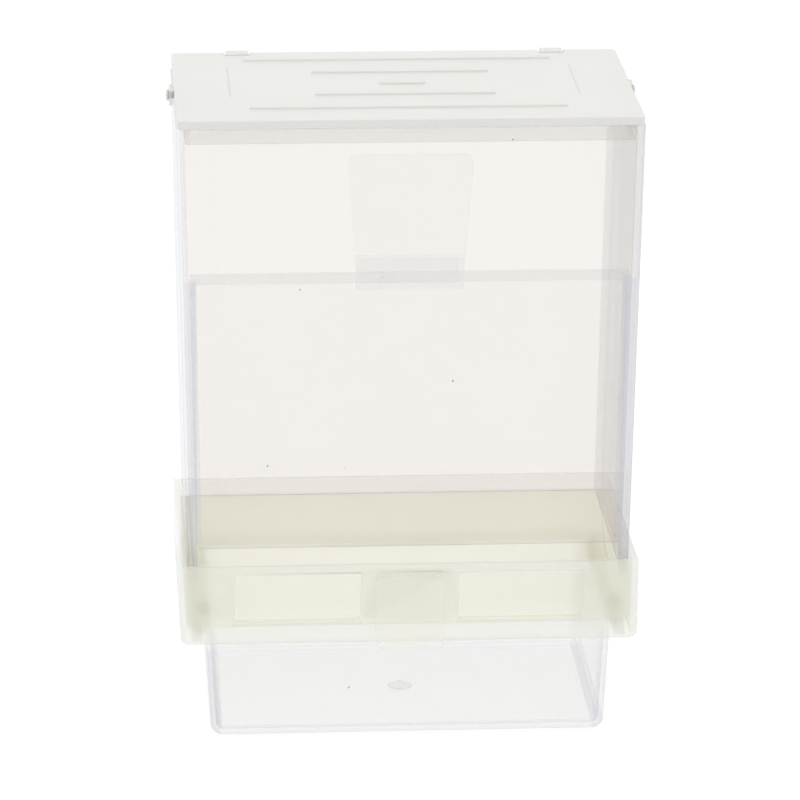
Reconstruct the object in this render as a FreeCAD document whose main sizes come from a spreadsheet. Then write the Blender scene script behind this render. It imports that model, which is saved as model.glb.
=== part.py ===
"""Hopper feeder for small caged animals: a clear hopper with a hinged lid and a
sliding feed gate, standing in a feeding tray with two ports, over a catch drawer.

Units are millimetres. +Z is up, -Y is the feeding side, +X is the right-hand side
seen from the feeding side. The origin is the centre of the bounding box on the
surface that the feeder stands on.
"""
import FreeCAD, Part
import os
import re

import Sketcher
from FreeCAD import Placement, Rotation, Vector

doc = FreeCAD.newDocument("hopper_feeder")

# ---------------------------------------------------------------- driving dimensions
DIMENSIONS = {
    # lid
    "lid_front": -41.5,          # Y of the lid's front edge
    "lid_depth": 90.2,
    "lid_width": 150.0,
    "lid_top": 210.6,
    "lid_thickness": 2.9,
    "lid_corner": 1.6,           # corner radius in plan
    "skirt_height": 5.8,
    "skirt_wall": 1.6,
    "skirt_gap": 0.5,            # between the skirt and the hopper's inside
    "rib_width": 1.6,
    "rib_height": 0.8,
    "rib_middle": 45.8,          # behind the lid's front edge
    "long_rib": 102.8,
    "long_rib_offset": 31.7,
    "short_rib": 58.6,
    "short_rib_offset": 14.65,
    "badge_length": 15.0,        # plain oval pad in the middle of the lid
    "badge_width": 3.4,
    "under_rib_x": 57.0,
    "under_rib_length": 38.0,
    "under_rib_middle": 49.8,    # behind the lid's front edge
    "under_rib_width": 1.0,
    "under_rib_height": 2.2,
    "overlap": 0.5,              # how far a rib or wall runs into what it stands on
    # hopper
    "hopper_top": 207.6,
    "hopper_base": 54.5,
    "hopper_front": -40.9,
    "hopper_top_width": 150.8,
    "hopper_base_width": 145.6,
    "hopper_back_top": 46.9,
    "hopper_back_base": 44.9,
    "front_wall": 2.0,
    "side_wall": 2.4,
    "back_wall": 2.2,
    "front_wall_edge": 65.4,     # Z of the edge that the feed runs out under
    "back_wall_top": 206.0,
    "hopper_corner": 1.6,
    # lid hinge
    "pivot_y": 47.2,
    "pivot_z": 209.15,
    "pin_radius": 0.9,
    "pin_clearance": 0.07,
    "lug_inner": 49.1,
    "lug_width": 7.6,
    "lug_radius": 2.4,
    "lug_foot_base": 195.6,
    "lug_foot_step": 200.6,
    "lug_foot_depth": 1.2,
    "lug_gap": 0.05,             # between a lug's foot and the leaning back wall
    "notch_gap": 0.4,
    "pin_overhang": 2.2,         # how far a hinge pin runs into the lid each side
    # side ears and their studs
    "ear_y": 11.0,
    "ear_z": 205.8,
    "ear_radius": 3.6,
    "ear_inner": 75.4,
    "ear_thickness": 1.2,
    "stud_radius": 1.9,
    "stud_head": 1.0,
    "shank_radius": 1.1,
    "shank_clearance": 0.05,
    # feed gate
    "gate_gap": 0.3,             # between the gate and the hopper's front wall
    "gate_plate": 1.2,
    "gate_border": 2.4,          # thickness of the raised border
    "gate_base": 66.0,
    "gate_top": 158.4,
    "gate_base_half": 69.9,
    "gate_top_half": 71.3,
    "bar_height": 3.6,
    "border_width": 2.0,
    "strap_top": 198.0,
    "strap_top_half": 20.4,
    "strap_base_half": 17.5,
    "grip_base": 152.4,
    "grip_top": 162.6,
    "grip_depth": 5.8,
    "grip_wall": 1.4,
    "cup_gap": 0.6,              # from the gate's bar to the finger cup
    "rail_inner": 69.0,
    "rail_front": -35.9,
    "rail_thickness": 1.6,
    "rail_base": 69.0,
    "rail_top": 156.0,
    # tray housing
    "housing_half": 75.4,
    "housing_front": -47.7,
    "housing_back": 47.3,
    "housing_base": 34.5,
    "rim_front": 61.5,
    "rim_back": 59.8,
    "housing_wall": 2.0,
    "deck_base": 38.2,           # the ledge that the trough stands on
    "deck_top": 39.9,
    "deck_side": 8.0,
    "deck_front": 2.1,
    "exit_margin": 1.0,          # the drawer's way out, inside the side walls
    "housing_corner": 3.0,
    # feeding ports in the housing's front wall
    "port_inner": 16.2,
    "port_outer": 57.4,
    "port_sill": 41.6,
    "port_head": 58.0,
    "bevel_inner": 15.4,
    "bevel_outer": 58.2,
    "bevel_sill": 40.6,
    "bevel_head": 58.8,
    "bevel_depth": 1.0,
    # trough
    "trough_half": 73.1,
    "trough_front": -45.3,
    "trough_back": 45.0,
    "trough_under": 40.0,
    "trough_wall": 1.4,
    "trough_floor": 1.5,
    "trough_side_top": 54.3,
    "trough_front_top": 58.6,
    "ramp_start": 10.5,          # Y where the flat floor turns up into the ramp
    "ramp_end": 43.0,
    "ramp_offset": 0.4,          # the underside's bends lie this much further forward
    "sift_slot": 1.8,
    "sift_margin": 0.5,
    "sift_pier": 4.0,
    "notch_margin": 0.7,
    "hopper_margin": 0.4,        # from the front wall of the hopper to the trough's cheeks
    "stud_x": 67.9,
    "stud_z": 46.6,
    "peg_radius": 2.2,
    "peg_length": 1.55,
    "peg_clearance": 0.1,
    # front latch
    "latch_half": 11.2,
    "latch_front": -49.6,
    "latch_thickness": 1.6,
    "latch_base": 32.7,
    "latch_pivot_z": 57.7,
    "latch_corner": 1.8,
    "catch_reach": 1.1,
    "catch_height": 1.5,
    "bridge_half": 10.4,
    "bridge_height": 1.6,
    "bridge_gap": 0.3,
    "bridge_side_gap": 0.5,
    "bridge_end_gap": 0.05,
    # catch drawer and its runners
    "drawer_top": 37.4,
    "drawer_top_half": 66.9,
    "drawer_front": -45.3,
    "drawer_back": 39.0,
    "drawer_draft": 1.55,        # how much each side leans in over the full height
    "drawer_wall": 1.8,
    "drawer_round": 4.0,
    "drawer_inner_round": 2.4,
    "flange_half": 69.8,
    "flange_thickness": 1.4,
    "pull_half": 25.0,
    "pull_back": 46.2,
    "mould_mark_radius": 4.0,
    "mould_mark_depth": 0.4,
    "runner_outer": 71.6,
    "runner_web": 1.4,
    "runner_inner": 68.0,
    "runner_base": 34.6,
    "runner_lip": 1.2,
    "runner_end_gap": 0.3,
}

sheet = doc.addObject("Spreadsheet::Sheet", "Dimensions")
for row, (alias, value) in enumerate(DIMENSIONS.items(), start=1):
    sheet.set(f"A{row}", alias.replace("_", " "))
    sheet.set(f"B{row}", str(value))
    sheet.setAlias(f"B{row}", alias)
doc.recompute()

ALIASES = re.compile(r"\b(" + "|".join(sorted(DIMENSIONS, key=len, reverse=True)) + r")\b")
WORKING_CELL = "D1"
subparts = {}


# ---------------------------------------------------------------- helpers
def size(alias):
    """The value of one driving dimension."""
    return float(getattr(sheet, alias))


def worked_out(text):
    """The value of an expression in the driving dimensions."""
    sheet.set(WORKING_CELL, "=" + text)
    doc.recompute([sheet])
    return float(sheet.get(WORKING_CELL))


def bind(obj, **properties):
    """Bind properties to expressions; a double underscore stands for a dot."""
    for name, text in properties.items():
        obj.setExpression(name.replace("__", "."), ALIASES.sub(r"Dimensions.\1", text))
    return obj


def minus(low, high):
    """The expression for a length from low to high."""
    return f"({high}) - ({low})"


def box(name, x, y, z):
    """A block between pairs of expressions along each axis."""
    block = doc.addObject("Part::Box", name)
    bind(block, Length=minus(*x), Width=minus(*y), Height=minus(*z),
         Placement__Base__x=x[0], Placement__Base__y=y[0], Placement__Base__z=z[0])
    return block


def upright_wedge(name, z, base, top):
    """A block whose base and top rectangles, each (x0, x1, y0, y1), may differ."""
    wedge = doc.addObject("Part::Wedge", name)
    wedge.Placement = Placement(Vector(0, 0, 0), Rotation(Vector(1, 0, 0), 90))
    bind(wedge, Ymin=z[0], Ymax=z[1],
         Xmin=base[0], Xmax=base[1], Zmin=f"-({base[3]})", Zmax=f"-({base[2]})",
         X2min=top[0], X2max=top[1], Z2min=f"-({top[3]})", Z2max=f"-({top[2]})")
    return wedge


def facing_wedge(name, y, near, far):
    """A block along +Y whose near and far rectangles, each (x0, x1, z0, z1), differ."""
    wedge = doc.addObject("Part::Wedge", name)
    bind(wedge, Ymin=y[0], Ymax=y[1],
         Xmin=near[0], Xmax=near[1], Zmin=near[2], Zmax=near[3],
         X2min=far[0], X2max=far[1], Z2min=far[2], Z2max=far[3])
    return wedge


def rod_x(name, radius, x, y, z):
    """A cylinder along X between a pair of expressions."""
    rod = doc.addObject("Part::Cylinder", name)
    rod.Placement = Placement(Vector(0, 0, 0), Rotation(Vector(0, 1, 0), 90))
    bind(rod, Radius=radius, Height=minus(*x),
         Placement__Base__x=x[0], Placement__Base__y=y, Placement__Base__z=z)
    return rod


def rod_y(name, radius, x, y, z):
    """A cylinder along +Y between a pair of expressions."""
    rod = doc.addObject("Part::Cylinder", name)
    rod.Placement = Placement(Vector(0, 0, 0), Rotation(Vector(1, 0, 0), -90))
    bind(rod, Radius=radius, Height=minus(*y),
         Placement__Base__x=x, Placement__Base__y=y[0], Placement__Base__z=z)
    return rod


def rod_z(name, radius, x, y, z):
    """A cylinder along Z between a pair of expressions."""
    rod = doc.addObject("Part::Cylinder", name)
    bind(rod, Radius=radius, Height=minus(*z),
         Placement__Base__x=x, Placement__Base__y=y, Placement__Base__z=z[0])
    return rod


def fuse(name, *pieces):
    joined = doc.addObject("Part::MultiFuse", name)
    joined.Shapes = list(pieces)
    joined.Refine = True
    return joined


def cut(name, base, *tools):
    left = doc.addObject("Part::Cut", name)
    left.Base = base
    left.Tool = tools[0] if len(tools) == 1 else fuse(name + "_tools", *tools)
    left.Refine = True
    return left


def common(name, first, second):
    shared = doc.addObject("Part::Common", name)
    shared.Base, shared.Tool = first, second
    return shared


def rounded(name, base, radius, wanted):
    """Fillet every straight edge of base that wanted(centre, direction) accepts."""
    doc.recompute()
    picked = []
    for number, edge in enumerate(base.Shape.Edges, start=1):
        if edge.Curve.TypeId == "Part::GeomLine":
            direction = edge.Vertexes[-1].Point - edge.Vertexes[0].Point
            if wanted(edge.CenterOfMass, direction.normalize()):
                picked.append((number, size(radius), size(radius)))
    if not picked:
        raise RuntimeError(f"{name}: no edge to round")
    fillet = doc.addObject("Part::Fillet", name)
    fillet.Base = base
    fillet.Edges = picked
    return fillet


def upright(_centre, direction):
    return abs(direction.z) > 0.9


def subpart(label, obj):
    """Name the object that is one finished piece."""
    obj.Label = label
    subparts[label] = obj
    return obj


def profile(body, name, role, points, offset="0"):
    """A closed sketch on one of the body's origin planes, its corners bound to the sheet."""
    sketch = body.newObject("Sketcher::SketchObject", name)
    plane = [item for item in body.Origin.OriginFeatures if item.Role == role][0]
    sketch.AttachmentSupport = [(plane, "")]
    sketch.MapMode = "FlatFace"
    bind(sketch, AttachmentOffset__Base__z=offset)
    corners = [Vector(worked_out(across), worked_out(up), 0) for across, up in points]
    count = len(corners)
    for index in range(count):
        sketch.addGeometry(Part.LineSegment(corners[index], corners[(index + 1) % count]))
    for index in range(count):
        sketch.addConstraint(Sketcher.Constraint("Coincident", index, 2, (index + 1) % count, 1))
    for index, (across, up) in enumerate(points):
        for kind, text, value in (("DistanceX", across, corners[index].x),
                                  ("DistanceY", up, corners[index].y)):
            number = sketch.addConstraint(Sketcher.Constraint(kind, -1, 1, index, 1, value))
            bind(sketch, **{f"Constraints[{number}]": text})
    return sketch


def pad(body, name, sketch, length, backwards=False):
    solid = body.newObject("PartDesign::Pad", name)
    solid.Profile = sketch
    solid.Reversed = backwards
    bind(solid, Length=length)
    doc.recompute()
    return solid


def mirrored_name(side, stem):
    return f"{stem}_{'left' if side < 0 else 'right'}"


def pair(side, low, high):
    """The X interval low..high on the right, or its mirror image on the left."""
    return (low, high) if side > 0 else (f"-({high})", f"-({low})")


# ---------------------------------------------------------------- hopper
def hopper_block(name, inset_side, inset_front, inset_back, z=("hopper_base", "hopper_top")):
    """The hopper's tapering outline, moved in by the given wall thicknesses."""
    base_x = f"hopper_base_width / 2 - {inset_side}"
    top_x = f"hopper_top_width / 2 - {inset_side}"
    front = f"hopper_front + {inset_front}"
    return upright_wedge(
        name, z,
        (f"-({base_x})", base_x, front, f"hopper_back_base - {inset_back}"),
        (f"-({top_x})", top_x, front, f"hopper_back_top - {inset_back}"))


def make_hopper_shell():
    outside = rounded("HopperOutline", hopper_block("HopperBlock", "0", "0", "0"),
                      "hopper_corner", upright)
    inside = hopper_block("HopperHollow", "side_wall", "front_wall", "back_wall")
    below_front = box("BelowFrontWall", ("-hopper_top_width", "hopper_top_width"),
                      ("hopper_front - 1", "hopper_front + front_wall + 0.01"),
                      ("hopper_base - 1", "front_wall_edge"))
    between_sides = common("FrontOpening", below_front,
                           hopper_block("FrontOpeningLimit", "side_wall", "-2", "0"))
    above_back = box("AboveBackWall", ("-hopper_top_width", "hopper_top_width"),
                     ("hopper_back_top - back_wall - 1", "hopper_back_top + 1"),
                     ("back_wall_top", "hopper_top + 1"))
    shanks = rod_x("ShankBore", "shank_radius + shank_clearance",
                   ("-ear_inner - 1", "ear_inner + 1"), "ear_y", "ear_z")
    subpart("hopper_shell", cut("HopperShell", outside, inside, between_sides,
                                above_back, shanks))


def make_hinge_lug(side):
    """A lug behind the back wall: a tapering foot with a rounded eye for the pin."""
    label = mirrored_name(side, "hinge_lug")
    x = pair(side, "lug_inner", "lug_inner + lug_width")
    body = doc.addObject("PartDesign::Body", f"{label}_foot")
    foot = profile(body, f"{label}_outline", "YZ_Plane",
                   [("hopper_back_top + lug_gap", "lug_foot_base"),
                    ("hopper_back_top + lug_foot_depth", "lug_foot_base"),
                    ("pivot_y + lug_radius", "lug_foot_step"),
                    ("pivot_y + lug_radius", "pivot_z"),
                    ("hopper_back_top + lug_gap", "pivot_z")],
                   offset=x[0])
    pad(body, f"{label}_pad", foot, "lug_width")
    eye = rod_x(f"{label}_eye", "lug_radius", x, "pivot_y", "pivot_z")
    bore = rod_x(f"{label}_bore", "pin_radius + pin_clearance / 2",
                 (f"{x[0]} - 1", f"{x[1]} + 1"), "pivot_y", "pivot_z")
    subpart(label, cut(f"{label}_solid", fuse(f"{label}_blank", body, eye), bore))


def make_hinge_pin(side):
    label = mirrored_name(side, "lid_hinge_pin")
    x = pair(side, "lug_inner - pin_overhang", "lug_inner + lug_width + pin_overhang")
    subpart(label, rod_x(f"{label}_rod", "pin_radius", x, "pivot_y", "pivot_z"))


def make_side_ear(side):
    """A round clear ear on the side wall, rising beside the lid's edge."""
    label = mirrored_name(side, "side_ear")
    x = pair(side, "ear_inner", "ear_inner + ear_thickness")
    plate = rod_x(f"{label}_plate", "ear_radius", x, "ear_y", "ear_z")
    bore = rod_x(f"{label}_bore", "shank_radius + shank_clearance",
                 (f"{x[0]} - 1", f"{x[1]} + 1"), "ear_y", "ear_z")
    subpart(label, cut(f"{label}_solid", plate, bore))


def make_side_stud(side):
    """A dark stud through the ear and the wall, with its head outside."""
    label = mirrored_name(side, "side_stud")
    outer = "ear_inner + ear_thickness"
    shank = rod_x(f"{label}_shank", "shank_radius",
                  pair(side, "hopper_top_width / 2 - side_wall", outer),
                  "ear_y", "ear_z")
    head = rod_x(f"{label}_head", "stud_radius", pair(side, outer, f"{outer} + stud_head"),
                 "ear_y", "ear_z")
    subpart(label, fuse(f"{label}_solid", shank, head))


def make_gate_rail(side):
    """An upright rail on the side wall that keeps the gate against the front wall."""
    label = mirrored_name(side, "gate_rail")
    blank = box(f"{label}_blank", pair(side, "rail_inner", "hopper_top_width / 2"),
                ("rail_front", "rail_front + rail_thickness"), ("rail_base", "rail_top"))
    limit = hopper_block(f"{label}_limit", "side_wall", "front_wall", "back_wall")
    subpart(label, common(f"{label}_solid", blank, limit))


# ---------------------------------------------------------------- feed gate
def make_feed_gate():
    """A sliding plate with a raised bar and side borders, and a tapering pull strap."""
    front = "hopper_front + front_wall + gate_gap"
    body = doc.addObject("PartDesign::Body", "FeedGate")
    plate = profile(body, "GateOutline", "XZ_Plane",
                    [("-gate_base_half", "gate_base"), ("gate_base_half", "gate_base"),
                     ("gate_top_half", "gate_top"), ("strap_base_half", "gate_top"),
                     ("strap_top_half", "strap_top"), ("-strap_top_half", "strap_top"),
                     ("-strap_base_half", "gate_top"), ("-gate_top_half", "gate_top")],
                    offset=f"-({front})")
    pad(body, "GatePlate", plate, "gate_plate", backwards=True)
    slope = "(gate_top_half - gate_base_half) / (gate_top - gate_base)"
    under_bar = f"gate_top_half - bar_height * {slope}"
    border = profile(body, "GateBorderOutline", "XZ_Plane",
                     [("-gate_base_half", "gate_base"),
                      ("-gate_base_half + border_width", "gate_base"),
                      (f"-({under_bar}) + border_width", "gate_top - bar_height"),
                      (f"{under_bar} - border_width", "gate_top - bar_height"),
                      ("gate_base_half - border_width", "gate_base"),
                      ("gate_base_half", "gate_base"),
                      ("gate_top_half", "gate_top"),
                      ("-gate_top_half", "gate_top")],
                     offset=f"-({front})")
    pad(body, "GateBorder", border, "gate_border", backwards=True)
    subpart("feed_gate", body)


def make_gate_grip():
    """A finger cup behind the gate's bar, open at the top."""
    front = "hopper_front + front_wall + gate_gap + gate_plate"
    back = f"{front} + grip_depth"
    x = ("-strap_base_half", "strap_base_half")
    block = box("GripBlock", x, (front, back), ("grip_base", "grip_top"))
    cup = box("GripCup", (f"{x[0]} + grip_wall", f"{x[1]} - grip_wall"),
              (f"{front} + gate_border - gate_plate + cup_gap", f"{back} - grip_wall"),
              ("grip_base + grip_wall", "grip_top + 1"))
    bar = box("GripBarSlot", (f"{x[0]} - 1", f"{x[1]} + 1"),
              (f"{front} - 1", "hopper_front + front_wall + gate_gap + gate_border"),
              ("gate_top - bar_height", "gate_top"))
    subpart("gate_grip", cut("GateGrip", block, cup, bar))


# ---------------------------------------------------------------- lid
def make_lid():
    """A flat lid with raised ribs, a locating skirt, and notches round the hinge lugs."""
    under = "lid_top - lid_thickness"
    back = "lid_front + lid_depth"
    half = "lid_width / 2"
    body = doc.addObject("PartDesign::Body", "LidPlate")
    outline = profile(body, "LidOutline", "XY_Plane",
                      [(f"-{half}", "lid_front"), (half, "lid_front"),
                       (half, back), (f"-{half}", back)], offset=under)
    plate = pad(body, "LidPad", outline, "lid_thickness")
    corners = body.newObject("PartDesign::Fillet", "LidCorners")
    corners.Base = (plate, [f"Edge{n}" for n, edge in enumerate(plate.Shape.Edges, start=1)
                            if abs((edge.Vertexes[-1].Point - edge.Vertexes[0].Point).z) > 1])
    bind(corners, Radius="lid_corner")
    doc.recompute()

    pieces = [body]
    for kind in ("long", "short"):
        for number, sign in enumerate(("-", "+")):
            middle = f"lid_front + rib_middle {sign} {kind}_rib_offset"
            pieces.append(box(f"LidRib_{kind}_{number}", (f"-{kind}_rib / 2", f"{kind}_rib / 2"),
                              (f"{middle} - rib_width / 2", f"{middle} + rib_width / 2"),
                              ("lid_top - overlap", "lid_top + rib_height")))
    middle = "lid_front + rib_middle"
    badge_top = ("lid_top - overlap", "lid_top + rib_height")
    pieces.append(box("BadgeBar", ("-(badge_length - badge_width) / 2",
                                   "(badge_length - badge_width) / 2"),
                      (f"{middle} - badge_width / 2", f"{middle} + badge_width / 2"), badge_top))
    for side in (-1, 1):
        name = mirrored_name(side, "Badge_end")
        pieces.append(rod_z(name, "badge_width / 2", f"{side} * (badge_length - badge_width) / 2",
                            middle, badge_top))
        pieces.append(box(mirrored_name(side, "Under_rib"),
                          pair(side, "under_rib_x - under_rib_width / 2",
                               "under_rib_x + under_rib_width / 2"),
                          ("lid_front + under_rib_middle - under_rib_length / 2",
                           "lid_front + under_rib_middle + under_rib_length / 2"),
                          (f"{under} - under_rib_height", f"{under} + overlap")))

    skirt_x = "hopper_top_width / 2 - side_wall - skirt_gap"
    skirt_y = ("hopper_front + front_wall + skirt_gap", "hopper_back_top - back_wall - skirt_gap")
    skirt_z = (f"{under} - skirt_height", f"{under} + overlap")
    skirt = box("SkirtBlock", (f"-({skirt_x})", skirt_x), skirt_y, skirt_z)
    hollow = box("SkirtHollow", (f"-({skirt_x}) + skirt_wall", f"{skirt_x} - skirt_wall"),
                 (f"{skirt_y[0]} + skirt_wall", f"{skirt_y[1]} - skirt_wall"),
                 (f"{skirt_z[0]} - 1", f"{skirt_z[1]} + 1"))
    pieces.append(cut("LidSkirt", skirt, hollow))

    tools = []
    for side in (-1, 1):
        tools.append(box(mirrored_name(side, "Lug_notch"),
                         pair(side, "lug_inner - notch_gap", "lug_inner + lug_width + notch_gap"),
                         ("pivot_y - lug_radius - notch_gap", f"{back} + 1"),
                         (f"{under} - 0.01", "lid_top + 1")))
        tools.append(rod_x(mirrored_name(side, "Pin_bore"), "pin_radius + pin_clearance",
                           pair(side, "lug_inner - pin_overhang - notch_gap",
                                "lug_inner + lug_width + pin_overhang + notch_gap"),
                           "pivot_y", "pivot_z"))
    subpart("lid", cut("Lid", fuse("LidBlank", *pieces), *tools))


# ---------------------------------------------------------------- tray
def make_tray_housing():
    """The frosted tray: four walls, a ledge inside, two bevelled ports in front."""
    body = doc.addObject("PartDesign::Body", "HousingBlock")
    side_view = profile(body, "HousingSideView", "YZ_Plane",
                        [("housing_front", "housing_base"), ("housing_back", "housing_base"),
                         ("housing_back", "rim_back"), ("housing_front", "rim_front")],
                        offset="-housing_half")
    pad(body, "HousingPad", side_view, "2 * housing_half")
    block = rounded("HousingRounded", body, "housing_corner",
                    lambda centre, way: abs(way.y) > 0.99 and centre.z < size("deck_base"))
    inner = ("-housing_half + housing_wall", "housing_half - housing_wall")
    inner_y = ("housing_front + housing_wall", "housing_back - housing_wall")
    tools = [
        box("HousingInside", inner, inner_y, ("deck_top", "rim_front + 1")),
        box("HousingUnderside", inner, inner_y, ("housing_base - 1", "deck_base")),
        box("DeckOpening", (f"{inner[0]} + deck_side", f"{inner[1]} - deck_side"),
            (f"{inner_y[0]} + deck_front", f"{inner_y[1]} - deck_side"),
            ("deck_base - 1", "deck_top + 1")),
        box("DrawerExit", (f"{inner[0]} + exit_margin", f"{inner[1]} - exit_margin"),
            (f"{inner_y[1]} - 1", "housing_back + 1"), ("housing_base - 1", "deck_base")),
        box("BridgeSlot", ("-bridge_half - bridge_side_gap", "bridge_half + bridge_side_gap"),
            ("housing_front - 1", f"{inner_y[0]} + 1"),
            ("latch_pivot_z - bridge_height / 2 - bridge_gap",
             "latch_pivot_z + bridge_height / 2 + bridge_gap")),
    ]
    for side in (-1, 1):
        outer = pair(side, "bevel_inner", "bevel_outer")
        through = pair(side, "port_inner", "port_outer")
        tools.append(facing_wedge(mirrored_name(side, "Port_bevel"),
                                  ("housing_front", "housing_front + bevel_depth"),
                                  (*outer, "bevel_sill", "bevel_head"),
                                  (*through, "port_sill", "port_head")))
        tools.append(box(mirrored_name(side, "Port_hole"), through,
                         ("housing_front + bevel_depth - 0.1", f"{inner_y[0]} + 1"),
                         ("port_sill", "port_head")))
        tools.append(rod_y(mirrored_name(side, "Peg_bore"), "peg_radius + peg_clearance",
                           f"{side} * stud_x",
                           ("trough_front - peg_length - peg_clearance / 2", f"{inner_y[0]} + 1"),
                           "stud_z"))
    subpart("tray_housing", cut("TrayHousing", block, *tools))


def make_trough_insert():
    """The tinted trough: a flat floor that turns up into a ramp under the hopper."""
    floor_top = "trough_under + trough_floor"
    rise = [("trough_front", "trough_under"), ("ramp_start - ramp_offset", "trough_under"),
            ("ramp_end - ramp_offset", "trough_side_top - trough_floor"),
            ("trough_back", "trough_side_top - trough_floor"),
            ("trough_back", "trough_side_top")]
    floor_body = doc.addObject("PartDesign::Body", "TroughFloor")
    floor_view = profile(floor_body, "TroughFloorView", "YZ_Plane",
                         rise + [("ramp_end", "trough_side_top"), ("ramp_start", floor_top),
                                 ("trough_front + trough_wall", floor_top),
                                 ("trough_front + trough_wall", "trough_front_top"),
                                 ("trough_front", "trough_front_top")],
                         offset="-trough_half")
    pad(floor_body, "TroughFloorPad", floor_view, "2 * trough_half")
    pieces = [floor_body]
    for side in (-1, 1):
        wall_body = doc.addObject("PartDesign::Body", mirrored_name(side, "TroughSide"))
        wall_view = profile(wall_body, mirrored_name(side, "TroughSideView"), "YZ_Plane",
                            rise + [("hopper_front - hopper_margin", "trough_side_top"),
                                    ("hopper_front - hopper_margin", "trough_front_top"),
                                    ("trough_front", "trough_front_top")],
                            offset=pair(side, "trough_half - trough_wall", "trough_half")[0])
        pad(wall_body, mirrored_name(side, "TroughSidePad"), wall_view, "trough_wall")
        pieces.append(wall_body)
    pieces.append(box("LatchBridge", ("-bridge_half", "bridge_half"),
                      ("latch_front + latch_thickness + bridge_end_gap",
                       "trough_front + overlap"),
                      ("latch_pivot_z - bridge_height / 2", "latch_pivot_z + bridge_height / 2")))
    slot_front = "trough_front + trough_wall + sift_margin"
    slot_y = (slot_front, f"{slot_front} + sift_slot")
    slot_z = ("trough_under - 1", f"{floor_top} + 1")
    tools = [box("SiftSlotMiddle", ("-port_inner + sift_pier", "port_inner - sift_pier"),
                 slot_y, slot_z)]
    for side in (-1, 1):
        tools.append(box(mirrored_name(side, "Sift_slot"),
                         pair(side, "port_inner", "port_outer"), slot_y, slot_z))
        tools.append(box(mirrored_name(side, "Port_notch"),
                         pair(side, "port_inner - notch_margin", "port_outer + notch_margin"),
                         ("trough_front - 1", "trough_front + trough_wall + 0.2"),
                         (floor_top, "trough_front_top + 1")))
    subpart("trough_insert", cut("TroughInsert", fuse("TroughBlank", *pieces), *tools))


def make_trough_stud(side):
    """A peg between the trough's front wall and the housing."""
    label = mirrored_name(side, "trough_stud")
    subpart(label, rod_y(f"{label}_peg", "peg_radius", f"{side} * stud_x",
                         ("trough_front - peg_length", "trough_front"), "stud_z"))


def make_front_latch():
    """A springy tongue that hangs from the trough and hooks under the housing."""
    back = "latch_front + latch_thickness"
    body = doc.addObject("PartDesign::Body", "FrontLatchTongue")
    side_view = profile(body, "LatchSideView", "YZ_Plane",
                        [("latch_front", "latch_base"), (f"{back} + catch_reach", "latch_base"),
                         (f"{back} + catch_reach", "latch_base + catch_height"),
                         (back, "latch_base + catch_height"),
                         (back, "latch_pivot_z"), ("latch_front", "latch_pivot_z")],
                        offset="-latch_half")
    pad(body, "LatchPad", side_view, "2 * latch_half")
    tongue = rounded("LatchRounded", body, "latch_corner",
                     lambda centre, way: abs(way.y) > 0.99 and abs(centre.x) > 10
                     and centre.z < size("latch_base") + 0.1)
    top = rod_x("LatchTop", "latch_thickness / 2", ("-latch_half", "latch_half"),
                f"{back} - latch_thickness / 2", "latch_pivot_z")
    subpart("front_latch", fuse("FrontLatch", tongue, top))


# ---------------------------------------------------------------- drawer
def drawer_block(name, inset, z):
    """The drawer's tapering outline between two heights, moved in by a wall thickness."""
    def rectangle(height):
        lean = f"drawer_draft * (1 - ({height}) / drawer_top) + {inset}"
        return (f"-(drawer_top_half - ({lean}))", f"drawer_top_half - ({lean})",
                f"drawer_front + {lean}", f"drawer_back - ({lean})")
    return upright_wedge(name, z, rectangle(z[0]), rectangle(z[1]))


def make_catch_drawer():
    """A clear drawer with round bottom edges, side flanges and a pull at the back."""
    outside = rounded("DrawerRounded", drawer_block("DrawerBlock", "0", ("0", "drawer_top")),
                      "drawer_round", lambda centre, way: abs(way.z) > 0.9 or centre.z < 0.1)
    hollow = drawer_block("DrawerHollow", "drawer_wall", ("drawer_wall", "drawer_top"))
    inside = rounded("DrawerHollowRounded", hollow, "drawer_inner_round",
                     lambda centre, way: abs(way.z) > 0.9 or centre.z < size("drawer_wall") + 0.1)
    flange_z = ("drawer_top - flange_thickness", "drawer_top")
    flange = box("DrawerFlange", ("-flange_half", "flange_half"),
                 ("drawer_front + drawer_round", "drawer_back - drawer_round"), flange_z)
    pull = box("DrawerPull", ("-pull_half", "pull_half"), ("drawer_back - 1", "pull_back"), flange_z)
    pull_lip = box("DrawerPullLip", ("-pull_half", "pull_half"),
                   ("pull_back - flange_thickness", "pull_back"),
                   ("drawer_top - 2 * flange_thickness", "drawer_top - 0.1"))
    mark = rod_z("MouldMark", "mould_mark_radius", "0", "(drawer_front + drawer_back) / 2",
                 ("drawer_wall - mould_mark_depth", "drawer_wall + 1"))
    subpart("catch_drawer", cut("CatchDrawer",
                                fuse("DrawerBlank", outside, flange, pull, pull_lip),
                                inside, mark))


def make_drawer_runner(side):
    """An L-shaped rail under the tray's ledge that carries the drawer's flange."""
    label = mirrored_name(side, "drawer_runner")
    y = ("housing_front + housing_wall + runner_end_gap",
         "housing_back - housing_wall - runner_end_gap")
    web = box(f"{label}_web", pair(side, "runner_outer - runner_web", "runner_outer"), y,
              ("runner_base", "deck_base"))
    lip = box(f"{label}_lip", pair(side, "runner_inner", "runner_outer"), y,
              ("runner_base", "runner_base + runner_lip"))
    subpart(label, fuse(f"{label}_solid", web, lip))


# ---------------------------------------------------------------- build and write
make_hopper_shell()
make_feed_gate()
make_gate_grip()
make_lid()
make_tray_housing()
make_trough_insert()
make_front_latch()
make_catch_drawer()
for side in (-1, 1):
    make_hinge_lug(side)
    make_hinge_pin(side)
    make_side_ear(side)
    make_side_stud(side)
    make_gate_rail(side)
    make_trough_stud(side)
    make_drawer_runner(side)
doc.recompute()

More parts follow.
